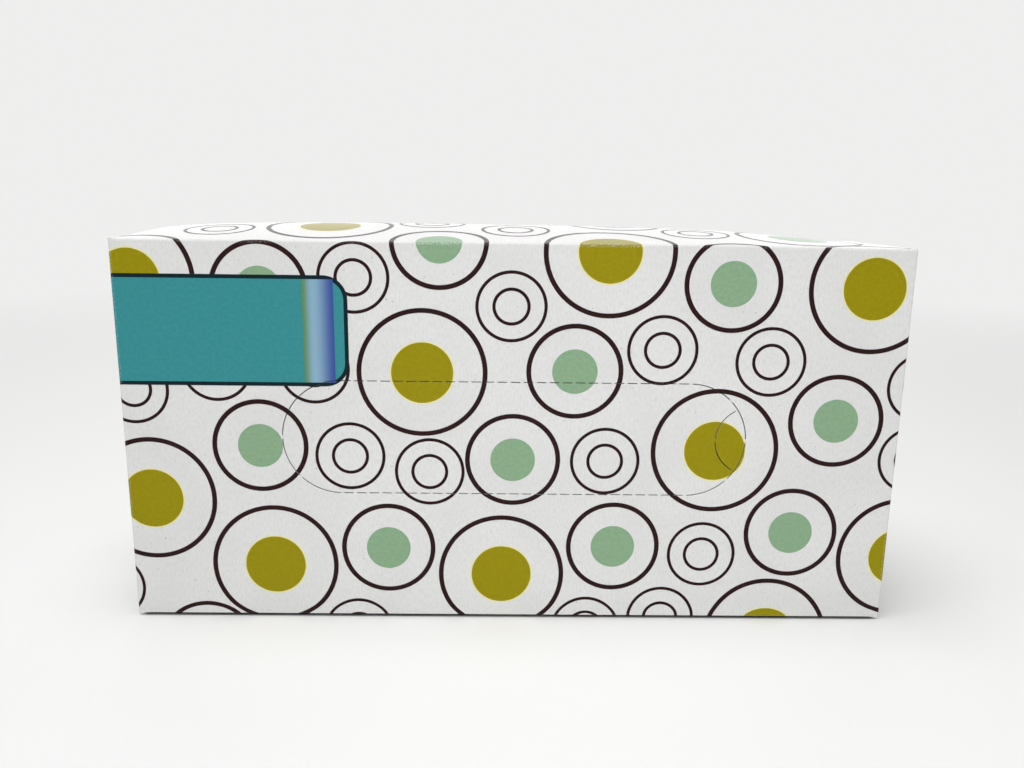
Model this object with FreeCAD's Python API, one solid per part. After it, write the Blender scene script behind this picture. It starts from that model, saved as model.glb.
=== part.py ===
import FreeCAD, Part
import math
import os

# A sealed carton of folded paper tissues, standing on one of its long narrow sides.
# Millimetres. +X runs along the box to the right, +Y from the dispensing panel to the back
# panel, +Z up. The origin is the middle of the underside.

# The closed carton
LENGTH = 230.0
DEPTH = 48.0
HEIGHT = 115.5

# Board and folds
BOARD = 0.45             # thickness of the board
FOLD_RADIUS = 1.1        # outside radius of the long creases
END_FOLD_RADIUS = 0.7    # outside radius of the creases of the end flaps

# The upper side panel bulges where the tissues press on it, most near its left and its back
CROWN = 3.3              # height of the bulge over the left half
CROWN_RIGHT = 2.6        # and over the right half
CROWN_LEFT_RUN = 5.0     # from the left end to the full bulge
CROWN_RIGHT_RUN = 56.0   # from the right end
CROWN_BACK_RUN = 9.0     # from the back crease

# End flaps, folded round from the dispensing panel (outer) and from the back panel (inner)
FLAP_SIDE_GAP = 1.2      # a flap is this much narrower than its panel at each side
FLAP_FREE_GAP = 1.6      # from the outer flap's free edge to the back of the box
FLAP_CORNER_RADIUS = 3.5
INNER_SETBACK = 0.15     # the inner flaps' creases lie this far inside the outer flaps' face
DUST_SETBACK = 0.3       # and the creases of the dust flaps, on the two side panels, this far

# The glued seam runs along the lower back edge, where the back panel covers the glue tab
SEAM_SETBACK = 1.5       # from the underside up to the back panel's cut edge

# The tear-out in the dispensing panel: cuts with uncut nicks between them
TEAR_OUT_LENGTH = 137.5
TEAR_OUT_HEIGHT = 34.5
KERF = 0.25              # width of a cut
CUT_LENGTH = 2.8         # one cut on the straight runs
NICK = 1.0               # one uncut bridge
END_CUTS = 4             # long cuts round each end
THUMB_RADIUS = 10.3      # the arc cut that makes the thumb tab
THUMB_REACH = 9.0        # from the tear-out's right end in to that arc

# Levels that follow from the sizes above
FRONT = -DEPTH / 2
BACK = DEPTH / 2
OUTER_END = LENGTH / 2
INNER_END = OUTER_END - INNER_SETBACK
SLEEVE_END = OUTER_END - DUST_SETBACK
FLAP_BOTTOM = FLAP_SIDE_GAP
FLAP_TOP = HEIGHT - FLAP_SIDE_GAP
FOLD = min(FOLD_RADIUS, DEPTH / 4, HEIGHT / 4)
END_FOLD = min(END_FOLD_RADIUS, FOLD)


def block(end, y_low, y_high, z_low, z_high):
    """A block that reaches the same distance to the left and to the right."""
    corner = FreeCAD.Vector(-end, y_low, z_low)
    return Part.makeBox(2 * end, y_high - y_low, z_high - z_low, corner)


def rounded(shape, radius, chosen):
    """The shape with a radius on each straight edge that the test picks by its middle."""
    edges = [edge for edge in shape.Edges if chosen(edge.BoundBox.Center)]
    return shape.makeFillet(radius, edges)


def near(value, level):
    return abs(value - level) < 1e-6


def sleeve():
    """The folded sleeve and what it holds, up to the glue tab's face at the back."""
    shape = block(SLEEVE_END, FRONT, BACK - BOARD, 0, HEIGHT)
    shape = rounded(shape, FOLD, lambda middle: near(middle.x, 0))
    return rounded(shape, END_FOLD, lambda middle: near(abs(middle.x), SLEEVE_END))


def back_panel():
    """The back panel over the glue tab: creased at the top, cut raw along the seam."""
    shape = block(SLEEVE_END, BACK - BOARD - FOLD, BACK, SEAM_SETBACK, HEIGHT)
    shape = rounded(shape, FOLD, lambda middle: near(middle.y, BACK) and near(middle.z, HEIGHT))

    def creased(middle):
        return near(abs(middle.x), SLEEVE_END) and middle.y > BACK - BOARD and middle.z > HEIGHT / 4

    return rounded(shape, END_FOLD, creased)


def inner_flaps():
    """The back panel's end flaps, creased at the back corners of the box."""
    low = max(FLAP_BOTTOM, SEAM_SETBACK)
    shape = block(INNER_END, FRONT + 2 * FOLD, BACK, low, FLAP_TOP)

    def creased(middle):
        return near(middle.y, BACK) and near(abs(middle.x), INNER_END)

    return rounded(shape, END_FOLD, creased)


def outer_flaps():
    """The dispensing panel's end flaps, glued over the inner ones, with free corners rounded."""
    free_edge = BACK - FLAP_FREE_GAP
    shape = block(OUTER_END, FRONT, free_edge, FLAP_BOTTOM, FLAP_TOP)

    def creased(middle):
        return near(middle.y, FRONT) and near(abs(middle.x), OUTER_END)

    def free_corner(middle):
        return near(middle.y, free_edge) and near(middle.x, 0)

    shape = rounded(shape, END_FOLD, creased)
    return rounded(shape, FLAP_CORNER_RADIUS, free_corner)


def crown():
    """The shallow pillow that the tissues push up in the upper side panel."""
    half_x = SLEEVE_END - END_FOLD
    low_y = FRONT + FOLD
    high_y = BACK - FOLD
    foot = HEIGHT - FOLD

    # Rows of control points along the box, three across it, with the middle ones lifted
    stations = [
        (-half_x, 0),
        (-half_x + CROWN_LEFT_RUN, CROWN),
        (0, CROWN),
        (half_x - CROWN_RIGHT_RUN, CROWN_RIGHT),
        (half_x, 0),
    ]
    poles = []
    for x, height in stations:
        across = ((low_y, 0), (high_y - CROWN_BACK_RUN, 2 * height), (high_y, 0))
        poles.append([FreeCAD.Vector(x, y, HEIGHT + lift) for y, lift in across])
    patch = Part.BSplineSurface()
    patch.buildFromPolesMultsKnots(poles, [4, 1, 4], [3, 3], [0, 0.5, 1], [0, 1], False, False, 3, 2)

    # The patch, walls down from its four straight edges, and a floor inside the pack
    pillow = patch.toShape()
    sides = [pillow]
    for edge in pillow.Edges:
        sides.append(edge.extrude(FreeCAD.Vector(0, 0, foot - HEIGHT)))
    corners = [(-half_x, low_y), (half_x, low_y), (half_x, high_y), (-half_x, high_y)]
    outline = [FreeCAD.Vector(x, y, foot) for x, y in corners]
    sides.append(Part.Face(Part.makePolygon(outline + outline[:1])))
    shell = Part.Shell(Part.makeShell(sides).Faces)
    shell.sewShape()
    return Part.Solid(shell)


def on_panel(x, z):
    """A point on the dispensing panel, measured from the panel's middle."""
    return FreeCAD.Vector(x, FRONT, HEIGHT / 2 + z)


def through_board(face):
    return face.extrude(FreeCAD.Vector(0, BOARD, 0))


def straight_cut(x_start, x_end, z):
    low, high = z - KERF / 2, z + KERF / 2
    corners = [(x_start, low), (x_end, low), (x_end, high), (x_start, high), (x_start, low)]
    return through_board(Part.Face(Part.makePolygon([on_panel(x, z) for x, z in corners])))


def arc_cut(centre_x, radius, start, end):
    """A cut along an arc round a point on the panel's middle line. Angles in radians."""
    def at(r, angle):
        return on_panel(centre_x + r * math.cos(angle), r * math.sin(angle))

    inner, outer = radius - KERF / 2, radius + KERF / 2
    half_way = (start + end) / 2
    outline = [
        Part.Arc(at(inner, start), at(inner, half_way), at(inner, end)).toShape(),
        Part.LineSegment(at(inner, end), at(outer, end)).toShape(),
        Part.Arc(at(outer, end), at(outer, half_way), at(outer, start)).toShape(),
        Part.LineSegment(at(outer, start), at(inner, start)).toShape(),
    ]
    return through_board(Part.Face(Part.Wire(outline)))


def tear_out_cuts():
    """Every cut of the tear-out: two straight runs, two round ends and the thumb tab."""
    end_radius = TEAR_OUT_HEIGHT / 2
    end_centre = TEAR_OUT_LENGTH / 2 - end_radius
    cuts = []

    # Straight runs: as many cuts as fit between the round ends, with equal nicks
    run = 2 * end_centre
    count = max(1, round(run / (CUT_LENGTH + NICK)))
    pitch = run / count
    for k in range(count):
        middle = -end_centre + (k + 0.5) * pitch
        for z in (-end_radius, end_radius):
            cuts.append(straight_cut(middle - CUT_LENGTH / 2, middle + CUT_LENGTH / 2, z))

    # Round ends: long cuts, with one nick between two of them
    nick_angle = NICK / end_radius
    step = math.pi / END_CUTS
    for side, first in ((1, -math.pi / 2), (-1, math.pi / 2)):
        for k in range(END_CUTS):
            start = first + k * step + nick_angle / 2
            cuts.append(arc_cut(side * end_centre, end_radius, start, start + step - nick_angle))

    # Thumb tab: an arc that bulges inwards and stops a nick short of the round end
    thumb_centre = end_centre + end_radius - THUMB_REACH + THUMB_RADIUS
    between = thumb_centre - end_centre
    meet = (between ** 2 + THUMB_RADIUS ** 2 - end_radius ** 2) / (2 * between * THUMB_RADIUS)
    half_span = math.acos(meet) - (NICK / 2 + KERF) / THUMB_RADIUS
    middle_nick = NICK / 2 / THUMB_RADIUS
    for side in (-1, 1):
        near_nick = math.pi + side * middle_nick
        far_end = math.pi + side * half_span
        cuts.append(arc_cut(thumb_centre, THUMB_RADIUS, near_nick, far_end))
    return cuts


def tissue_box():
    """The whole sealed pack as one solid."""
    pack = sleeve().fuse([back_panel(), inner_flaps(), outer_flaps(), crown()])
    pack = pack.removeSplitter()
    pack = pack.cut(tear_out_cuts())
    return pack.Solids[0]


os.makedirs("parts", exist_ok=True)
box = tissue_box()
box.exportStep("parts/tissue_box.step")
print("tissue_box volume cm3", round(box.Volume / 1000, 1), "closed", box.isClosed(), "valid", box.isValid())
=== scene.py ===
# %% [markdown]
# # A sealed box of tissues
# This box is a carton: one sheet of white board that is printed, cut and creased while it is flat,
# then folded and glued round a stack of tissues. It could be made in Blender as a rounded block
# with a picture on it. This script makes it the way the factory does instead: the sheet, its cuts
# and its fields of ink are modelled flat, and one function folds all of them. So a printed ring
# runs over a crease without a seam, and each cut goes through the ink as well as the board.
#
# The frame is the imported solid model. It says how large the box is and where it stands.

# %% Load the frame
import bisect
import math

import bpy
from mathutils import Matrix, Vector
from mathutils.geometry import interpolate_bezier


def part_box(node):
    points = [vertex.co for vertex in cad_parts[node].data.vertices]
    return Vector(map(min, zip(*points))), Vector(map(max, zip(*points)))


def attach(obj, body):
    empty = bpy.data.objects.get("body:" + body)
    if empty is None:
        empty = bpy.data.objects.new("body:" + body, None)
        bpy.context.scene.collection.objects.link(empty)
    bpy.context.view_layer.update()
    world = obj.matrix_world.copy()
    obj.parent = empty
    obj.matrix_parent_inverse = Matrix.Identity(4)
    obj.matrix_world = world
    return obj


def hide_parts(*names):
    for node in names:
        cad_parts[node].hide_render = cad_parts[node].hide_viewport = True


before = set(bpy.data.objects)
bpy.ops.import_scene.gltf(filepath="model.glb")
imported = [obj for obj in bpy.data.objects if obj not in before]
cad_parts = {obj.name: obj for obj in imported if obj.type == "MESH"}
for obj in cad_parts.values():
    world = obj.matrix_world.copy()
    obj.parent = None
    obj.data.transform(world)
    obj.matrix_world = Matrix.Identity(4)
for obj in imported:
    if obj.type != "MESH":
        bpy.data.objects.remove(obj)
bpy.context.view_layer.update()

MM = 0.001
box_low, box_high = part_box("tissue_box")
print("solid box in mm:", [round(size / MM, 1) for size in box_high - box_low])

# %% [markdown]
# ## Camera
# The printed rings are true circles, so their ellipses in the photograph give the camera: it is
# close, 27 cm in front of the panel and 8 cm above its middle, with a fairly wide lens. The three
# turns are a tilt of 13 degrees down and small corrections for a camera that wasn't held square.

# %% Camera
EYE = Vector((-4.3, -289.0, 136.3)) * MM
EYE_TURN = (76.874, -0.71, -0.65)
LENS = 32.65

camera_data = bpy.data.cameras.new("camera")
camera_data.lens = LENS
camera_data.sensor_width = 36
camera = bpy.data.objects.new("camera", camera_data)
camera.location = EYE
camera.rotation_euler = [math.radians(angle) for angle in EYE_TURN]
bpy.context.scene.collection.objects.link(camera)
bpy.context.scene.camera = camera
print("camera to panel in mm:", round((box_low.y - EYE.y) / MM, 1))

# %% [markdown]
# ## Light
# The photograph is lit mostly from above: the upper side and the floor are almost white, and the
# front is a light grey that fades a little from its middle to its corners. A wide soft lamp
# overhead does the first, and a small one close in front of the panel the second. A third lamp
# far behind is mirrored in the coated board at the flat angle of the upper side, where it washes
# out the print. The world gives the rest. What the camera and the reflections see of it is a
# plain pale grey, chosen by the Light Path node, so the background doesn't depend on how much
# light the world gives.

# %% Light
BACKDROP = (0.86, 0.86, 0.855, 1)
WORLD_STRENGTH = 0.3
AIM = Vector((0, 0, 0.06))


def soft_lamp(name, at, size, watts, mirrored=True):
    """A square area lamp that points at the box. The camera doesn't see the lamp itself."""
    data = bpy.data.lights.new(name, "AREA")
    data.size = size
    data.energy = watts
    lamp = bpy.data.objects.new(name, data)
    lamp.location = at
    lamp.visible_camera = False
    lamp.visible_glossy = mirrored
    ray = AIM - Vector(at)
    lamp.rotation_euler = ray.to_track_quat("-Z", "Y").to_euler()
    bpy.context.scene.collection.objects.link(lamp)


soft_lamp("overhead", (-0.1, -0.16, 1.1), 0.7, 8.0)
soft_lamp("near_front", (0.02, -0.3, 0.06), 0.2, 0.24, mirrored=False)
soft_lamp("behind", (0, 1.0, 0.45), 1.3, 2.9)

world = bpy.data.worlds.new("studio")
bpy.context.scene.world = world
world.use_nodes = True
nodes, links = world.node_tree.nodes, world.node_tree.links
nodes.clear()
lighting = nodes.new("ShaderNodeBackground")
lighting.inputs["Color"].default_value = (1, 1, 1, 1)
lighting.inputs["Strength"].default_value = WORLD_STRENGTH
seen = nodes.new("ShaderNodeBackground")
seen.inputs["Color"].default_value = BACKDROP
path = nodes.new("ShaderNodeLightPath")
direct = nodes.new("ShaderNodeMath")
direct.operation = "MAXIMUM"
links.new(path.outputs["Is Camera Ray"], direct.inputs[0])
links.new(path.outputs["Is Glossy Ray"], direct.inputs[1])
choose = nodes.new("ShaderNodeMixShader")
links.new(direct.outputs[0], choose.inputs["Fac"])
links.new(lighting.outputs[0], choose.inputs[1])
links.new(seen.outputs[0], choose.inputs[2])
links.new(choose.outputs[0], nodes.new("ShaderNodeOutputWorld").inputs["Surface"])
bpy.context.scene.view_settings.view_transform = "Standard"

# %% [markdown]
# ## Floor
# The floor is a plain disc. Near the box it is lit like anything else, so it keeps the shadow.
# Further out its material fades to the backdrop's own grey, so no horizon shows. The fade reads
# Object coordinates, which stay with the floor in every view.

# %% Floor
FLOOR_WHITE = (0.93, 0.93, 0.922, 1)
FLOOR_RADIUS = 6.0
FADE_FROM = 0.3
FADE_TO = 0.85

bpy.ops.object.select_all(action="DESELECT")
bpy.ops.mesh.primitive_circle_add(vertices=96, radius=FLOOR_RADIUS, fill_type="NGON")
floor = bpy.context.object
floor.name = "floor"
paper = bpy.data.materials.new("floor")
paper.use_nodes = True
nodes, links = paper.node_tree.nodes, paper.node_tree.links
shader = nodes["Principled BSDF"]
shader.inputs["Base Color"].default_value = FLOOR_WHITE
shader.inputs["Roughness"].default_value = 0.7
distance = nodes.new("ShaderNodeVectorMath")
distance.operation = "LENGTH"
links.new(nodes.new("ShaderNodeTexCoord").outputs["Object"], distance.inputs[0])
fade = nodes.new("ShaderNodeMapRange")
fade.inputs["From Min"].default_value = FADE_FROM
fade.inputs["From Max"].default_value = FADE_TO
links.new(distance.outputs["Value"], fade.inputs["Value"])
far = nodes.new("ShaderNodeEmission")
far.inputs["Color"].default_value = BACKDROP
blend = nodes.new("ShaderNodeMixShader")
links.new(fade.outputs["Result"], blend.inputs["Fac"])
links.new(shader.outputs[0], blend.inputs[1])
links.new(far.outputs[0], blend.inputs[2])
links.new(blend.outputs[0], nodes["Material Output"].inputs["Surface"])
floor.data.materials.append(paper)
print("floor radius in m:", FLOOR_RADIUS)

# %% [markdown]
# ## The sheet's layout
# The flat sheet lies in Blender's XY plane with its face up. Across it, u runs along the box, and
# v runs from the middle of the dispensing panel up over its top crease, the upper side panel and
# the back panel. Downwards from that middle come the lower side panel and the glue tab. Height
# above the sheet's face is h: board lies below zero and ink just above. A crease isn't a sharp
# corner: it uses up a quarter circle of sheet.

# %% Sizes of the carton
LENGTH = box_high.x - box_low.x
DEPTH = box_high.y - box_low.y
HEIGHT = 115.5 * MM
BOARD = 0.45 * MM
LAYER = 1.05 * BOARD
FOLD = 0.65 * MM
END_FOLD = 0.6 * MM
INNER_SETBACK = 0.15 * MM
DUST_SETBACK = 0.3 * MM
TAB = 12 * MM
SEAM = 1.5 * MM

ARC = FOLD * math.pi / 2
END_ARC = END_FOLD * math.pi / 2
LEAN_RUN = 6 * MM
V_FRONT = HEIGHT / 2 - FOLD
V_SIDE = V_FRONT + ARC
V_TOP_END = V_SIDE + DEPTH - 2 * FOLD
V_BACK = V_TOP_END + ARC
V_BACK_END = V_BACK + HEIGHT - FOLD - SEAM
V_LOWER_END = V_TOP_END - BOARD
V_TAB = V_LOWER_END + ARC
V_TAB_END = V_TAB + TAB
print("sheet in mm, tab to back edge:", round((V_TAB_END + V_BACK_END) / MM, 1))

# %% [markdown]
# ## Folding
# Each point of the sheet is folded twice. First the sleeve: depending on v, the point lies on a
# panel or on the quarter circle of a crease. Then the end flaps: past the end crease the sheet
# turns inwards, which is the same as sinking below its own panel. The flaps of the back panel lie
# one board deeper than those of the dispensing panel, and the dust flaps two boards deeper. All
# are creased at nearly the same place, so the deeper ones lean in over their first few
# millimetres.

# %% Fold function
def across(v, h):
    """Where the sheet's point v lies on the folded sleeve, h above its face: y and z."""
    s = abs(v)
    upwards = 1 if v > 0 else -1
    back = DEPTH / 2 if v > 0 else DEPTH / 2 - BOARD
    side_end = V_TOP_END if v > 0 else V_LOWER_END
    if s <= V_FRONT:
        y, q = -DEPTH / 2 - h, s
    elif s <= V_SIDE:
        a = (s - V_FRONT) / FOLD
        y = -DEPTH / 2 + FOLD - (FOLD + h) * math.cos(a)
        q = V_FRONT + (FOLD + h) * math.sin(a)
    elif s <= side_end:
        y, q = -DEPTH / 2 + FOLD + s - V_SIDE, HEIGHT / 2 + h
    elif s <= side_end + ARC:
        a = (s - side_end) / FOLD
        y = back - FOLD + (FOLD + h) * math.sin(a)
        q = V_FRONT + (FOLD + h) * math.cos(a)
    else:
        y, q = back + h, V_FRONT - (s - side_end - ARC)
    return y, HEIGHT / 2 + upwards * q


def ease(t):
    """0 up to t = 0, 1 from t = 1, and a smooth rise between."""
    t = min(max(t, 0), 1)
    return t * t * (3 - 2 * t)


def end_of_panel(v):
    """The end crease's distance from the middle at v, and the boards that lie outside its flap."""
    s = abs(v)
    side_end = V_TOP_END if v > 0 else V_LOWER_END
    if s <= V_SIDE:
        share = max(0, s - V_FRONT) / ARC
        return LENGTH / 2 - DUST_SETBACK * share, 2 * share
    share = min(max(0, s - side_end) / ARC, 1)
    return LENGTH / 2 - DUST_SETBACK + (DUST_SETBACK - INNER_SETBACK) * share, 2 - share


def folded(u, v, h):
    """The folded place of the sheet's point u, v at height h."""
    end, boards = end_of_panel(v)
    past = abs(u) - (end - END_FOLD)
    x, sunk = abs(u), h
    if past > END_ARC:
        run = past - END_ARC
        lean = end - (LENGTH / 2 - LAYER * boards)
        x = end + h - max(lean, 0) * ease(run / LEAN_RUN)
        sunk = -END_FOLD - run
    elif past > 0:
        a = past / END_FOLD
        x = end - END_FOLD + (END_FOLD + h) * math.sin(a)
        sunk = (END_FOLD + h) * math.cos(a) - END_FOLD
    y, z = across(v, sunk)
    return Vector((math.copysign(x, u), y, z))


upper_right = folded(LENGTH / 2, V_FRONT, 0)
print("a corner of the dispensing panel in mm:", [round(c / MM, 1) for c in upper_right])

# %% [markdown]
# ## Stuffing
# The tissues press the upper side panel out by about 3 mm, most over its left half and near its
# back. The right back corner has sagged, and the lower front crease stands clear of the floor
# between the box's corners, which leaves a thin dark line of shadow. At the upper front corners
# the end of the crease stands up as a small tip. A cloth simulation could do all this, but the
# shape is known from the photograph, so it is written down: two Bezier curves give the bulge along
# the box, and a parabola with its peak towards the back gives it across. The solid model's bulge
# has the same curves.

# %% Bulge, sag and arch
CROWN = 3.3 * MM
CROWN_RIGHT = 2.6 * MM
CROWN_LEFT_RUN = 5 * MM
CROWN_RIGHT_RUN = 56 * MM
CROWN_BACK_RUN = 9 * MM
CURVE_POINTS = 60
SAG = 1.9 * MM
SAG_AT_FRONT = 0.3
SAG_FROM = 58 * MM
ARCH = 0.4 * MM
ARCH_DEPTH = 42 * MM
ARCH_RISE = 5 * MM
ARCH_END = 3 * MM
TIP = 0.6 * MM
TIP_REACH = 3 * MM

crown_end = LENGTH / 2 - DUST_SETBACK - END_FOLD
crown_span = DEPTH - 2 * FOLD


def crown_profile():
    """Points of the bulge's height along the box, as x and height."""
    poles = [
        Vector((-crown_end, 0)),
        Vector((-crown_end + CROWN_LEFT_RUN, CROWN)),
        Vector((0, CROWN)),
        Vector((crown_end - CROWN_RIGHT_RUN, CROWN_RIGHT)),
        Vector((crown_end, 0)),
    ]
    before, after = (poles[1] + poles[2]) / 2, (poles[2] + poles[3]) / 2
    middle = (before + after) / 2
    left = interpolate_bezier(poles[0], poles[1], before, middle, CURVE_POINTS)
    return left + interpolate_bezier(middle, after, poles[3], poles[4], CURVE_POINTS)[1:]


profile = crown_profile()
profile_x = [point[0] for point in profile]


def crown(x, y):
    """Height of the bulge above the upper side panel."""
    t = (y + DEPTH / 2 - FOLD) / crown_span
    if not 0 < t < 1 or abs(x) >= crown_end:
        return 0
    k = min(bisect.bisect(profile_x, x), len(profile) - 1)
    a, b = profile[k - 1], profile[k]
    along = a[1] + (b[1] - a[1]) * (x - a[0]) / (b[0] - a[0])
    lean = (crown_span - CROWN_BACK_RUN) / crown_span
    w = (math.sqrt(lean * lean + (1 - 2 * lean) * t) - lean) / (1 - 2 * lean)
    return 4 * w * (1 - w) * along


def stuffed(v, point):
    """The folded point after the bulge, the sag, the arch and the tips have moved it."""
    if V_SIDE < v < V_TOP_END:
        point.z += crown(point.x, point.y)
    to_end = ease((point.x - SAG_FROM) / (LENGTH / 2 - SAG_FROM))
    to_back = SAG_AT_FRONT + (1 - SAG_AT_FRONT) * ease(0.5 + point.y / DEPTH)
    point.z -= SAG * to_end * to_back * point.z / HEIGHT
    from_front = 1 - ease((point.y + DEPTH / 2) / ARCH_DEPTH)
    from_end = ease((LENGTH / 2 - abs(point.x)) / ARCH_END)
    point.z += ARCH * from_front * from_end * (1 - ease(point.z / ARCH_RISE))
    corner = Vector((math.copysign(LENGTH / 2, point.x), -DEPTH / 2, HEIGHT))
    point.z += TIP * (1 - ease((point - corner).length / TIP_REACH))
    return point


print("highest point of the bulge in mm:", round(max(point[1] for point in profile) / MM, 2))

# %% [markdown]
# ## Tools for flat pieces
# Blender's operators act on all that is selected, and the frame's own meshes start selected. So
# each helper first selects just the piece it works on.

# %% Helpers
WELD = 0.001 * MM


def pick(*objects):
    """Selects only these objects and makes the first one active."""
    bpy.ops.object.select_all(action="DESELECT")
    for obj in objects:
        obj.select_set(True)
    bpy.context.view_layer.objects.active = objects[0]


def apply_modifier(obj, kind, **settings):
    modifier = obj.modifiers.new(kind.lower(), kind)
    for name, value in settings.items():
        setattr(modifier, name, value)
    pick(obj)
    bpy.ops.object.modifier_apply(modifier=modifier.name)


def join(name, objects):
    pick(*objects)
    if len(objects) > 1:
        bpy.ops.object.join()
    obj = bpy.context.object
    obj.name = obj.data.name = name
    return obj


def rectangle(u_low, u_high, v_low, v_high):
    bpy.ops.object.select_all(action="DESELECT")
    centre = ((u_low + u_high) / 2, (v_low + v_high) / 2, 0)
    bpy.ops.mesh.primitive_plane_add(size=1, location=centre)
    obj = bpy.context.object
    obj.scale = (u_high - u_low, v_high - v_low, 1)
    bpy.ops.object.transform_apply(location=True, scale=True)
    return obj


def edit_faces(obj, wanted):
    """Enters edit mode with only those faces selected whose middle passes the test."""
    pick(obj)
    bpy.ops.object.mode_set(mode="EDIT")
    bpy.ops.mesh.select_mode(type="FACE")
    bpy.ops.mesh.select_all(action="DESELECT")
    bpy.ops.object.mode_set(mode="OBJECT")
    for face in obj.data.polygons:
        face.select = wanted(face.center)
    bpy.ops.object.mode_set(mode="EDIT")


print("helpers:", [helper.__name__ for helper in (pick, apply_modifier, join, rectangle, edit_faces)])

# %% [markdown]
# ## Lines to bend at
# A flat face can't bend: it needs vertices wherever the sheet starts or stops bending, and some on
# the way round. Cutting lines across a flat piece with bisect gives it those. A wider grid over
# the panels lets them bulge and sag.

# %% Bending lines
CREASE_STEPS = 6
U_RAW = LENGTH / 2
GRID = 2 * MM
PANEL_GRID = 4 * MM
FLAP_SLIT = 0.1 * MM
V_FLAP = V_FRONT - FLAP_SLIT


def rule_lines(obj, us=(), vs=()):
    """Cuts straight lines across a flat piece at these places."""
    pick(obj)
    bpy.ops.object.mode_set(mode="EDIT")
    for places, normal in ((us, (1, 0, 0)), (vs, (0, 1, 0))):
        for place in places:
            bpy.ops.mesh.select_all(action="SELECT")
            spot = [place * n for n in normal]
            bpy.ops.mesh.bisect(plane_co=spot, plane_no=normal)
    bpy.ops.object.mode_set(mode="OBJECT")


def steps(start, end, count):
    return [start + (end - start) * k / count for k in range(count + 1)]


def grid_steps(start, end, spacing):
    return steps(start, end, max(1, round(abs(end - start) / spacing)))


def bending_lines():
    """Every line at which the sheet starts, goes on or stops bending: lists of u and of v."""
    us = steps(LENGTH / 2 - DUST_SETBACK - END_FOLD, LENGTH / 2 - END_FOLD + END_ARC, CREASE_STEPS)
    us += grid_steps(us[-1], us[-1] + LEAN_RUN, GRID)
    vs = [V_FLAP, -V_FLAP]
    for start in (V_FRONT, V_TOP_END):
        vs += steps(start, start + ARC, CREASE_STEPS)
    for start in (-V_FRONT, -V_LOWER_END):
        vs += steps(start, start - ARC, CREASE_STEPS)
    return us + [-u for u in us], vs


def rule_sheet(obj):
    """Cuts the bending lines, and a grid of lines where the panels bulge."""
    us, vs = bending_lines()
    us += grid_steps(-U_RAW, U_RAW, GRID)
    vs += grid_steps(-V_FRONT, V_FRONT, PANEL_GRID)
    vs += grid_steps(V_SIDE, V_TOP_END, GRID)
    vs += grid_steps(-V_SIDE, -V_LOWER_END, GRID)
    vs += grid_steps(V_BACK, V_BACK_END, 2 * PANEL_GRID)
    rule_lines(obj, us, vs)


print("bending lines along u and v:", [len(lines) for lines in bending_lines()])

# %% [markdown]
# ## The tear-out's knife
# The tear-out is a long round-ended piece, held by small uncut nicks. The knife that cuts it is
# modelled once, as a set of thin blades standing through the sheet, and is then taken from the
# board and from each field of ink with a Boolean. A straight blade is a stretched cube. A curved
# one is a small upright face, spun round the arc's centre. Spin turns clockwise for a positive
# angle, so the angle is given with a minus sign. The finished knife is moved half a millimetre to
# the right, as the real cut stands a little off the panel's middle.

# %% Knife
TEAR_OUT_LENGTH = 137.5 * MM
TEAR_OUT_HEIGHT = 34.5 * MM
BLADE = 0.28 * MM
BLADE_REACH = 1 * MM
BLADE_STEP = 0.8 * MM
CUT_LENGTH = 2.8 * MM
NICK = 1 * MM
END_CUTS = 4
THUMB_RADIUS = 10.3 * MM
THUMB_REACH = 9 * MM
OFF_CENTRE = 0.5 * MM

end_radius = TEAR_OUT_HEIGHT / 2
end_centre = TEAR_OUT_LENGTH / 2 - end_radius


def straight_blade(middle, v, length):
    bpy.ops.object.select_all(action="DESELECT")
    bpy.ops.mesh.primitive_cube_add(size=1, location=(middle, v, 0))
    blade = bpy.context.object
    blade.scale = (length, BLADE, 2 * BLADE_REACH)
    bpy.ops.object.transform_apply(location=True, scale=True)
    return blade


def curved_blade(centre_u, radius, start, span):
    """A blade along an arc round a point on the panel's middle line. Angles in radians."""
    bpy.ops.object.select_all(action="DESELECT")
    bpy.ops.mesh.primitive_plane_add(size=1)
    blade = bpy.context.object
    blade.scale = (BLADE, 2 * BLADE_REACH, 1)
    blade.rotation_euler = (math.pi / 2, 0, 0)
    bpy.ops.object.transform_apply(location=False, rotation=True, scale=True)
    blade.rotation_euler = (0, 0, start)
    blade.location = (centre_u + radius * math.cos(start), radius * math.sin(start), 0)
    bpy.ops.object.transform_apply(location=True, rotation=True)
    bpy.ops.object.mode_set(mode="EDIT")
    bpy.ops.mesh.select_all(action="SELECT")
    turns = max(4, round(abs(span) * radius / BLADE_STEP))
    bpy.ops.mesh.spin(steps=turns, angle=-span, center=(centre_u, 0, 0), axis=(0, 0, 1))
    bpy.ops.mesh.select_all(action="SELECT")
    bpy.ops.mesh.remove_doubles(threshold=WELD)
    bpy.ops.mesh.normals_make_consistent(inside=False)
    bpy.ops.object.mode_set(mode="OBJECT")
    return blade


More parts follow.
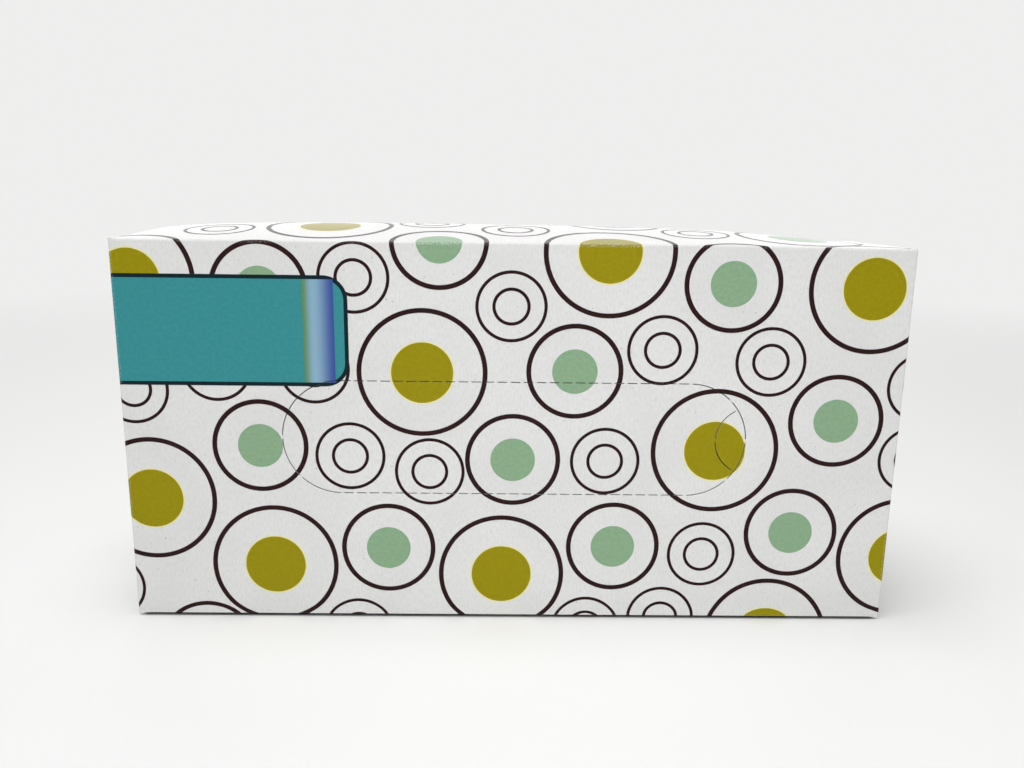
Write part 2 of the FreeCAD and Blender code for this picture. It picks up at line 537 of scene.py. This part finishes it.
def make_knife():
    blades = []
    count = round(2 * end_centre / (CUT_LENGTH + NICK))
    pitch = 2 * end_centre / count
    for k in range(count):
        middle = -end_centre + (k + 0.5) * pitch
        blades.append(straight_blade(middle, end_radius, CUT_LENGTH))
        blades.append(straight_blade(middle, -end_radius, CUT_LENGTH))

    step = math.pi / END_CUTS
    nick_angle = NICK / end_radius
    for side, first in ((1, -math.pi / 2), (-1, math.pi / 2)):
        for k in range(END_CUTS):
            start = first + k * step + nick_angle / 2
            blades.append(curved_blade(side * end_centre, end_radius, start, step - nick_angle))

    thumb_centre = end_centre + end_radius - THUMB_REACH + THUMB_RADIUS
    between = thumb_centre - end_centre
    meet = (between**2 + THUMB_RADIUS**2 - end_radius**2) / (2 * between * THUMB_RADIUS)
    half_span = math.acos(meet) - (NICK / 2 + BLADE) / THUMB_RADIUS
    nick_angle = NICK / 2 / THUMB_RADIUS
    for start in (math.pi - half_span, math.pi + nick_angle):
        blades.append(curved_blade(thumb_centre, THUMB_RADIUS, start, half_span - nick_angle))
    made = join("knife", blades)
    bpy.ops.transform.translate(value=(OFF_CENTRE, 0, 0))
    bpy.ops.object.transform_apply(location=True)
    return made


knife = make_knife()
print("knife faces:", len(knife.data.polygons))

# %% [markdown]
# ## Cutting, marking and folding
# What every flat piece goes through at the end. The knife is taken out of it. Then each corner of
# each face gets its own place on the flat sheet as a UV map named blank, in metres, so that the
# materials can follow the print and the creases. Last, every vertex moves to its folded place.

# %% Finish a flat piece
SMOOTH_BELOW = 35


def cut_with_knife(obj):
    apply_modifier(obj, "BOOLEAN", operation="DIFFERENCE", solver="MANIFOLD", object=knife)


def mark_and_fold(obj):
    """Writes the flat places as UVs, then folds the piece."""
    mesh = obj.data
    while mesh.uv_layers:
        mesh.uv_layers.remove(mesh.uv_layers[0])
    layer = mesh.uv_layers.new(name="blank")
    for loop in mesh.loops:
        layer.data[loop.index].uv = mesh.vertices[loop.vertex_index].co.xy
    for vertex in mesh.vertices:
        u, v, h = vertex.co
        vertex.co = stuffed(v, folded(u, v, h))
    mesh.update()
    pick(obj)
    bpy.ops.object.shade_smooth_by_angle(angle=math.radians(SMOOTH_BELOW))


print("pieces are finished by cutting, marking and folding")

# %% [markdown]
# ## The board
# The sheet is laid out as rectangles: one for the sleeve with its glue tab, and an end flap for
# each end of each panel. Lines are cut wherever it bends, and a grid over the panels. Solidify
# then gives the board its thickness, downwards from the face.

# %% Board
U_FLAT_END = LENGTH / 2 - 2 * END_FOLD + END_ARC
FREE_GAP = 1.6 * MM
OUTER_FLAP = DEPTH - FREE_GAP
INNER_FLAP = 36 * MM
DUST_FLAP = 30 * MM
FLAP_CORNER = 3.5 * MM
CORNER_SLANTS = (15, 35, 55, 75)


def flap_rectangles():
    """The eight end flaps, each as its limits in u and v."""
    rows = []
    flaps = [
        (-V_FLAP, V_FLAP, OUTER_FLAP),
        (V_SIDE + FOLD, V_TOP_END - FOLD, DUST_FLAP),
        (-V_LOWER_END + FOLD, -V_SIDE - FOLD, DUST_FLAP),
        (V_BACK, V_BACK_END, INNER_FLAP),
    ]
    for v_low, v_high, length in flaps:
        rows.append((U_RAW, U_FLAT_END + length, v_low, v_high))
        rows.append((-U_FLAT_END - length, -U_RAW, v_low, v_high))
    return rows


def round_free_corners(obj):
    """Trims the outer flaps' free corners to a radius with a few slanting cuts."""
    u_far = U_FLAT_END + OUTER_FLAP
    heart_u, heart_v = u_far - FLAP_CORNER, V_FLAP - FLAP_CORNER

    for side_u in (-1, 1):
        for side_v in (-1, 1):
            def at_corner(middle):
                return heart_u < middle.x * side_u < u_far and heart_v < middle.y * side_v < V_FLAP

            heart = Vector((side_u * heart_u, side_v * heart_v, 0))
            for angle in CORNER_SLANTS:
                a = math.radians(angle)
                slant = Vector((side_u * math.cos(a), side_v * math.sin(a), 0))
                edit_faces(obj, at_corner)
                spot = heart + slant * FLAP_CORNER
                bpy.ops.mesh.bisect(plane_co=spot, plane_no=slant, clear_outer=True)
                bpy.ops.object.mode_set(mode="OBJECT")


def make_board():
    flats = [rectangle(-U_RAW, U_RAW, -V_TAB_END, V_BACK_END)]
    flats += [rectangle(*limits) for limits in flap_rectangles()]
    board = join("carton", flats)

    rule_sheet(board)
    corner_u, corner_v = U_FLAT_END + OUTER_FLAP - FLAP_CORNER, V_FLAP - FLAP_CORNER
    dust_vs = [V_SIDE + FOLD, V_TOP_END - FOLD, -V_SIDE - FOLD, -V_LOWER_END + FOLD]
    rule_lines(board, [corner_u, -corner_u], [corner_v, -corner_v] + dust_vs)
    bpy.ops.object.mode_set(mode="EDIT")
    bpy.ops.mesh.select_all(action="SELECT")
    bpy.ops.mesh.remove_doubles(threshold=WELD)
    bpy.ops.object.mode_set(mode="OBJECT")
    round_free_corners(board)
    apply_modifier(board, "SOLIDIFY", thickness=BOARD, offset=-1)
    cut_with_knife(board)
    for face in board.data.polygons:
        in_tear_out = abs(face.center.x) < TEAR_OUT_LENGTH and abs(face.center.y) < TEAR_OUT_HEIGHT
        if face.normal.z > 0.5:
            face.material_index = 0
        else:
            face.material_index = 2 if in_tear_out else 1
    return board


carton = make_board()
print("board faces:", len(carton.data.polygons))

# %% [markdown]
# ## Printed rings and dots
# The print is three sizes of ring, two of them round a dot of colour. Each ring is a circle whose
# face is inset by the width of the line, with the middle taken out. Most lie on the dispensing
# panel, as places from its middle. Those on the upper side panel are given by their depth behind
# the front crease. Some lie half off the panel: they run on over the crease, or end at the edge
# of the sheet. A small scale and shift turn the places read off the photograph into true ones.

# %% Print layout
BIG_RING = 18.4 * MM
BIG_DOT = 9.05 * MM
MIDDLE_RING = 13.5 * MM
MIDDLE_DOT = 6.65 * MM
SMALL_RING = 9.95 * MM
SMALL_CORE = 5.05 * MM
BOLD_LINE = 1.42 * MM
FINE_LINE = 0.95 * MM
HALO = 0.4 * MM

BIG_PLACES = [
    (-110.5, 46), (-27, 19.6), (27, 55.4), (60.2, -3.5), (103.6, 46), (-108.2, -19.8),
    (-72.3, -40.9), (-3.3, -43.6), (119, -37), (79.3, -63.7),
]
MIDDLE_PLACES = [
    (-73.6, 43.7), (-21.9, 58.2), (17.7, 20.4), (62.7, 46.6), (-75.2, -3), (-0.2, -6.8),
    (95.8, 6.3), (-37.7, -35.2), (30.7, -34.3), (85, -29.3), (-94, -67.5),
]
SMALL_PLACES = [
    (-46.5, 47.3), (-1.1, 39.4), (43.2, 27), (75.1, 23.9), (-48.6, -6), (-25, -10.7),
    (27.4, -7), (58, -36.6), (-58.5, 20.5), (-111.5, 14), (-87, 21), (120.5, 17),
    (120, -5.5), (23, -61.5), (46.3, -58), (-47.3, -62.5), (-123, -48.5),
]
BIG_ABOVE = [(-56.3, 22.3)]
BIG_MINT_ABOVE = [(87, 22)]
MIDDLE_ABOVE = [(32, 36.5)]
SMALL_ABOVE = [(-88.7, 17.5), (-25.9, 31.3), (0.1, 19), (55, 20.5)]
PRINT_SCALE = 0.998
PRINT_SHIFT = (0.15 * MM, 0.26 * MM)


def on_sheet(places, above):
    """Both lists as places on the flat sheet, in metres."""
    right, up = PRINT_SHIFT
    flat = [(x * MM * PRINT_SCALE + right, z * MM * PRINT_SCALE + up) for x, z in places]
    return flat + [(x * MM * PRINT_SCALE + right, V_SIDE - FOLD + depth * MM) for x, depth in above]


big = on_sheet(BIG_PLACES, BIG_ABOVE)
big_mint = on_sheet([], BIG_MINT_ABOVE)
middle = on_sheet(MIDDLE_PLACES, MIDDLE_ABOVE)
small = on_sheet(SMALL_PLACES, SMALL_ABOVE)
print("motifs:", len(big + big_mint), "big,", len(middle), "middle,", len(small), "small")

# %% [markdown]
# ## Fields of ink
# Ink has no thickness to speak of, but a field with a hard edge stays crisp at any distance,
# which a picture on the board wouldn't. So each colour is a very thin solid on the board's face,
# about 0.03 mm high. Where two fields overlap, the lower one is thinner or the upper one thicker,
# so that they never share a face. Where the sheet has no board, such as past the ends of the side
# panels, the field is trimmed before it gets its thickness.

# %% Ink
INK = 0.03 * MM
INK_FOOT = 0.01 * MM
SEGMENTS = 3.5


def disc(radius, place):
    bpy.ops.object.select_all(action="DESELECT")
    segments = 8 * round(math.sqrt(radius / MM) * SEGMENTS)
    where = (place[0], place[1], 0)
    bpy.ops.mesh.primitive_circle_add(vertices=segments, radius=radius, fill_type="NGON", location=where)
    bpy.ops.object.transform_apply(location=True)
    return bpy.context.object


def ring(radius, line, place):
    obj = disc(radius + line / 2, place)
    bpy.ops.object.mode_set(mode="EDIT")
    bpy.ops.mesh.select_all(action="SELECT")
    bpy.ops.mesh.inset(thickness=line)
    bpy.ops.mesh.delete(type="FACE")
    bpy.ops.object.mode_set(mode="OBJECT")
    return obj


def trim_to_board(obj):
    """Takes away what would lie past the raw ends of the side panels."""
    edit_faces(obj, lambda middle: abs(middle.x) > U_RAW and abs(middle.y) > V_FLAP)
    bpy.ops.mesh.delete(type="FACE")
    bpy.ops.object.mode_set(mode="OBJECT")


def print_field(name, flats, height=INK):
    """Joins flat faces to one field of ink, cut, folded and in place."""
    field = join(name, flats)
    rule_sheet(field)
    trim_to_board(field)
    for vertex in field.data.vertices:
        vertex.co.z = -INK_FOOT
    apply_modifier(field, "SOLIDIFY", thickness=height + INK_FOOT, offset=1)
    cut_with_knife(field)
    mark_and_fold(field)
    print(name, "faces:", len(field.data.polygons))
    return field


def ring_set():
    made = [ring(BIG_RING, BOLD_LINE, place) for place in big]
    made += [ring(BIG_RING, BOLD_LINE, place) for place in big_mint]
    made += [ring(MIDDLE_RING, BOLD_LINE, place) for place in middle]
    for place in small:
        made.append(ring(SMALL_RING, FINE_LINE, place))
        made.append(ring(SMALL_CORE, FINE_LINE, place))
    return made


rings = print_field("brown_rings", ring_set())
olive = print_field("olive_dots", [disc(BIG_DOT, place) for place in big])
mint_flats = [disc(MIDDLE_DOT, place) for place in middle]
mint_flats += [disc(BIG_DOT, place) for place in big_mint]
mint = print_field("mint_dots", mint_flats)
halo = print_field("yellow_rims", [disc(BIG_DOT + HALO, place) for place in big], height=INK * 2 / 3)

# %% [markdown]
# ## The label
# The upper left of the panel carries a plain tag of teal, which runs round the left end. It has
# round corners, a dark rim and a stripe of green to blue. Each of its fields is a rectangle, and
# bevelling the rectangle's four vertices makes the corners.

# %% Label
LABEL_LEFT = -132 * MM
LABEL_RIGHT = -48 * MM
LABEL_LOW = 15.5 * MM
LABEL_HIGH = 48 * MM
LABEL_CORNER = 7 * MM
RIM = 1.15 * MM
STRIPE_LEFT = -61 * MM
STRIPE_RIGHT = -52 * MM


def rounded_rectangle(u_low, u_high, v_low, v_high, radius):
    obj = rectangle(u_low, u_high, v_low, v_high)
    bpy.ops.object.mode_set(mode="EDIT")
    bpy.ops.mesh.select_all(action="SELECT")
    bpy.ops.mesh.bevel(offset=radius, segments=10, affect="VERTICES")
    bpy.ops.object.mode_set(mode="OBJECT")
    return obj


def inner_label(margin):
    limits = (LABEL_LEFT + margin, LABEL_RIGHT - margin, LABEL_LOW + margin, LABEL_HIGH - margin)
    return rounded_rectangle(*limits, LABEL_CORNER - margin)


stripe_flat = rectangle(STRIPE_LEFT, STRIPE_RIGHT, LABEL_LOW + RIM, LABEL_HIGH - RIM)
label_rim = print_field("label_rim", [inner_label(0)], height=INK * 4 / 3)
label = print_field("teal_label", [inner_label(RIM)], height=INK * 5 / 3)
stripe = print_field("label_stripe", [stripe_flat], height=INK * 2)
mark_and_fold(carton)

# %% [markdown]
# ## Material recipes
# A material in Blender is a tree of nodes. The same few kinds come back in every finish here, so a
# small class makes each of them with one short call. All textures read the UV map named blank,
# which is in metres on the flat sheet, so they run round the creases and keep their scale. A wave
# texture of scale 1 has bands 0.314 apart, from which each thread's own scale is worked out.

# %% Material helpers
SHEEN = 0.2
BAND_PERIOD = 0.314


def hue(red, green, blue):
    """A colour as it looks on screen, 0 to 255, as the linear value that Blender works with."""
    def linear(value):
        value = value / 255
        return value / 12.92 if value <= 0.04045 else ((value + 0.055) / 1.055) ** 2.4

    return (linear(red), linear(green), linear(blue), 1)


class Recipe:
    """A material's node tree with short calls for the few nodes that this box needs."""

    def __init__(self, name, roughness, specular=SHEEN):
        self.material = bpy.data.materials.new(name)
        self.material.use_nodes = True
        self.nodes = self.material.node_tree.nodes
        self.links = self.material.node_tree.links
        self.shader = self.nodes["Principled BSDF"]
        self.shader.inputs["Roughness"].default_value = roughness
        self.shader.inputs["Specular IOR Level"].default_value = specular
        uv = self.add("ShaderNodeUVMap")
        uv.uv_map = "blank"
        place = self.add("ShaderNodeVectorMath", operation="SCALE")
        place.inputs["Scale"].default_value = 1 / MM
        self.links.new(uv.outputs["UV"], place.inputs[0])
        self.mm = place.outputs[0]

    def add(self, kind, **settings):
        node = self.nodes.new(kind)
        for name, value in settings.items():
            setattr(node, name, value)
        return node

    def feed(self, socket, value):
        if isinstance(value, bpy.types.NodeSocket):
            self.links.new(value, socket)
        else:
            socket.default_value = value

    def split(self):
        """The place on the flat sheet as separate X and Y, in millimetres."""
        node = self.add("ShaderNodeSeparateXYZ")
        self.links.new(self.mm, node.inputs[0])
        return node

    def math(self, operation, a, b=0.0):
        node = self.add("ShaderNodeMath", operation=operation)
        self.feed(node.inputs[0], a)
        self.feed(node.inputs[1], b)
        return node.outputs[0]

    def noise(self, scale, detail=2.0, roughness=0.5, stretch=(1, 1, 1)):
        squeezed = self.add("ShaderNodeVectorMath", operation="DIVIDE")
        self.links.new(self.mm, squeezed.inputs[0])
        squeezed.inputs[1].default_value = stretch
        node = self.add("ShaderNodeTexNoise")
        self.links.new(squeezed.outputs[0], node.inputs["Vector"])
        node.inputs["Scale"].default_value = scale
        node.inputs["Detail"].default_value = detail
        node.inputs["Roughness"].default_value = roughness
        return node.outputs["Fac"]

    def weave(self, direction, period):
        """Fine parallel threads, as heights from 0 to 1. Their period is in millimetres."""
        node = self.add("ShaderNodeTexWave", wave_type="BANDS", bands_direction=direction)
        self.links.new(self.mm, node.inputs["Vector"])
        node.inputs["Scale"].default_value = BAND_PERIOD / period
        node.inputs["Distortion"].default_value = 1.2
        node.inputs["Detail"].default_value = 2.0
        node.inputs["Detail Scale"].default_value = 1.5
        return node.outputs["Fac"]

    def between(self, value, low, high):
        """0 at low, 1 at high, and a smooth rise between."""
        node = self.add("ShaderNodeMapRange", interpolation_type="SMOOTHSTEP")
        self.feed(node.inputs["Value"], value)
        node.inputs["From Min"].default_value = low
        node.inputs["From Max"].default_value = high
        return node.outputs["Result"]

    def mix(self, share, first, second):
        node = self.add("ShaderNodeMix", data_type="RGBA")
        self.feed(node.inputs["Factor"], share)
        self.feed(node.inputs[6], first)
        self.feed(node.inputs[7], second)
        return node.outputs[2]

    def bump(self, height, distance, before=None):
        node = self.add("ShaderNodeBump")
        node.inputs["Distance"].default_value = distance
        self.links.new(height, node.inputs["Height"])
        if before:
            self.links.new(before, node.inputs["Normal"])
        return node.outputs["Normal"]


print("colour check, mid grey:", [round(c, 3) for c in hue(128, 128, 128)])

# %% [markdown]
# ## Emboss, wear and painted shadow
# The board has a very fine linen emboss, which is only in the shading. Where ink is bent over a
# crease it cracks, and the board shows through in flecks. The lower front crease is painted near
# black between the corners and loses its sheen there: a painted shadow that deepens the line of
# shadow under the box. Each of these follows from how far a point of the flat sheet is from a
# crease, so it needs no mask drawn in an image.

# %% Emboss, wear and painted shadow
THREADS_ALONG = 0.62
THREADS_ACROSS = 0.55
WEAR_NONE = 0.95
WEAR_FULL = 0.4
END_WEAR = 0.4
# The next two make a painted shadow: near black on the lower front crease between the corners, full from
# this share of the crease's reach inwards.
EDGE_SHADOW_FULL = 0.88
PAINTED_EDGE_SHADOW = hue(14, 13, 12)


def linen(recipe):
    """The board's emboss: threads both ways, as one height."""
    threads = (recipe.weave("X", THREADS_ALONG), recipe.weave("Y", THREADS_ACROSS))
    crossing = recipe.math("MULTIPLY", *threads)
    return recipe.math("ADD", crossing, recipe.noise(2.2, 3.0, 0.6))


def crease_mask(recipe):
    """1 on the long creases of the dispensing panel, less on its end creases, 0 elsewhere."""
    split = recipe.split()
    masks = []
    across_mm = (V_FRONT + ARC / 2) / MM
    along_mm = (LENGTH / 2 - END_FOLD + END_ARC / 2) / MM
    for output, line in (("Y", across_mm), ("X", along_mm)):
        away = recipe.math("ABSOLUTE", split.outputs[output])
        away = recipe.math("ABSOLUTE", recipe.math("SUBTRACT", away, line))
        masks.append(recipe.between(away, WEAR_NONE, WEAR_FULL))
    return recipe.math("MAXIMUM", masks[0], recipe.math("MULTIPLY", masks[1], END_WEAR))


def standing_edge(recipe):
    """Where the painted shadow goes: 1 on the lower front crease between the corners, 0 elsewhere."""
    split = recipe.split()
    along = recipe.math("ABSOLUTE", split.outputs["X"])
    inside = recipe.between(along, (LENGTH / 2 - END_FOLD) / MM, (LENGTH / 2 - ARCH_END) / MM)
    away = recipe.math("ADD", split.outputs["Y"], (V_SIDE + FOLD / 2) / MM)
    reach = (ARC + FOLD / 2) / MM
    dark = recipe.between(recipe.math("ABSOLUTE", away), reach, EDGE_SHADOW_FULL * reach)
    return recipe.math("MULTIPLY", inside, dark)


def paint_edge_shadow(recipe, colour, sheen):
    """The colour with a painted shadow on the lower front crease, which also takes the sheen off it."""
    edge = standing_edge(recipe)
    unshaded = recipe.math("SUBTRACT", 1.0, edge)
    recipe.feed(recipe.shader.inputs["Specular IOR Level"], recipe.math("MULTIPLY", unshaded, sheen))
    # Mixes in the painted shadow: the crease's colour goes towards near black.
    return recipe.mix(edge, colour, PAINTED_EDGE_SHADOW)


print("thread spacing in mm:", THREADS_ALONG, THREADS_ACROSS)

# %% [markdown]
# ## Board finishes
# The outside is coated and nearly white, and reflects strongly at a flat angle, which is why the
# print on the upper side looks so pale. That comes from the shader itself. The
# inside and every cut edge show the board's own greyer pulp. The walls of the tear-out's cuts are
# painted far darker, a painted shade that makes the narrow cuts look dark.

# %% Board materials
COATING = 0.25
EMBOSS = 0.012 * MM
WAVINESS = 0.25 * MM
PAPER_WHITE = hue(234, 234, 233)
PAPER_SHADE = hue(229, 229, 228)
PAPER_STREAK = hue(213, 213, 212)
SPECK = hue(150, 148, 144)
PULP = hue(203, 198, 188)
PULP_SHADE = hue(186, 180, 168)
# The next two colours are painted shade for the tear-out's cut walls, far darker than the pulp so that
# the narrow cuts look dark.
CUT = hue(62, 58, 52)
CUT_SHADE = hue(44, 41, 38)


def coated_board():
    recipe = Recipe("coated_board", COATING)
    tone = recipe.between(recipe.noise(0.035, 2.0), 0.35, 0.7)
    colour = recipe.mix(tone, PAPER_WHITE, PAPER_SHADE)
    streaks = recipe.between(recipe.noise(1.8, 3.0, 0.7, stretch=(1, 3, 1)), 0.35, 0.75)
    colour = recipe.mix(recipe.math("MULTIPLY", streaks, 0.55), colour, PAPER_STREAK)
    speck = recipe.between(recipe.noise(1.1, 1.0, 0.5), 0.735, 0.78)
    colour = recipe.mix(recipe.math("MULTIPLY", speck, 0.55), colour, SPECK)
    recipe.feed(recipe.shader.inputs["Base Color"], paint_edge_shadow(recipe, colour, SHEEN))
    threads = recipe.bump(linen(recipe), EMBOSS)
    waves = recipe.bump(recipe.noise(0.05, 1.0), WAVINESS, threads)
    recipe.feed(recipe.shader.inputs["Normal"], waves)
    return recipe.material


def raw_board(name, light, dark):
    recipe = Recipe(name, 0.85)
    fibres = recipe.noise(3.0, 4.0, 0.7)
    recipe.feed(recipe.shader.inputs["Base Color"], recipe.mix(fibres, light, dark))
    recipe.feed(recipe.shader.inputs["Normal"], recipe.bump(fibres, 0.03 * MM))
    return recipe.material


coated = coated_board()
raw = raw_board("raw_board", PULP, PULP_SHADE)
shaded_cut_walls = raw_board("shaded_cut_walls", CUT, CUT_SHADE)
print("board finishes:", [finish.name for finish in (coated, raw, shaded_cut_walls)])

# %% [markdown]
# ## Ink finishes
# Ink lies on the embossed board, so it has the same threads. It is mottled between two near
# shades, and it shines less than the coating. The stripe on the label is one ink whose colour
# changes with the place across it, from green through a pale tone to blue.

# %% Ink materials
INK_SHEEN = 0.12


def ink(name, main, shade, wear=0.5):
    """Ink on the embossed board: mottled, and cracked where it is creased."""
    recipe = Recipe(name, COATING)
    mottle = recipe.between(recipe.noise(0.9, 4.0, 0.65), 0.3, 0.72)
    colour = recipe.mix(mottle, main, shade)
    flecks = recipe.between(recipe.noise(2.0, 4.0, 0.7), 0.48, 0.6)
    cracked = recipe.math("MULTIPLY", recipe.math("MULTIPLY", flecks, crease_mask(recipe)), wear)
    colour = recipe.mix(cracked, colour, PAPER_WHITE)
    recipe.feed(recipe.shader.inputs["Base Color"], paint_edge_shadow(recipe, colour, INK_SHEEN))
    recipe.feed(recipe.shader.inputs["Normal"], recipe.bump(linen(recipe), EMBOSS))
    return recipe.material


def blended_stripe():
    """Green through pale to blue across the stripe."""
    recipe = Recipe("stripe_ink", COATING, INK_SHEEN)
    split = recipe.split()
    start, end = STRIPE_LEFT / MM, STRIPE_RIGHT / MM
    middle_u = (2 * start + end) / 3
    first = recipe.between(split.outputs["X"], start, middle_u)
    second = recipe.between(split.outputs["X"], middle_u, end)
    colour = recipe.mix(first, hue(98, 140, 92), hue(140, 178, 200))
    colour = recipe.mix(second, colour, hue(62, 84, 158))
    recipe.feed(recipe.shader.inputs["Base Color"], colour)
    recipe.feed(recipe.shader.inputs["Normal"], recipe.bump(linen(recipe), EMBOSS))
    return recipe.material


INKS = [
    (rings, ink("brown_ink", hue(34, 12, 14), hue(48, 24, 22), wear=0.15)),
    (olive, ink("olive_ink", hue(150, 138, 0), hue(158, 147, 5))),
    (mint, ink("mint_ink", hue(136, 170, 135), hue(145, 178, 143))),
    (halo, ink("yellow_ink", hue(236, 228, 160), hue(240, 234, 176))),
    (label_rim, ink("rim_ink", hue(4, 30, 36), hue(8, 40, 46))),
    (label, ink("teal_ink", hue(53, 141, 147), hue(61, 148, 153))),
    (stripe, blended_stripe()),
]
print("inks:", [material.name for _, material in INKS])

# %% [markdown]
# ## Putting the finishes on
# Each field of ink takes one material. The board takes three. Its faces got their numbers while
# the sheet lay flat, when the coated ones were those that pointed up, and the list of materials
# follows the numbers. The knife has done its work and is deleted.

# %% Put the finishes on
for piece, material in INKS:
    piece.data.materials.clear()
    piece.data.materials.append(material)
carton.data.materials.clear()
for finish in (coated, raw, shaded_cut_walls):
    carton.data.materials.append(finish)
bpy.data.objects.remove(knife)
print("finished pieces:", [piece.name for piece, _ in INKS] + [carton.name])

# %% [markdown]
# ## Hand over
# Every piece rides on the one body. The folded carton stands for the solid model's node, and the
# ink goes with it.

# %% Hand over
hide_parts("tissue_box")
for piece in [carton] + [piece for piece, _ in INKS]:
    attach(piece, "root")
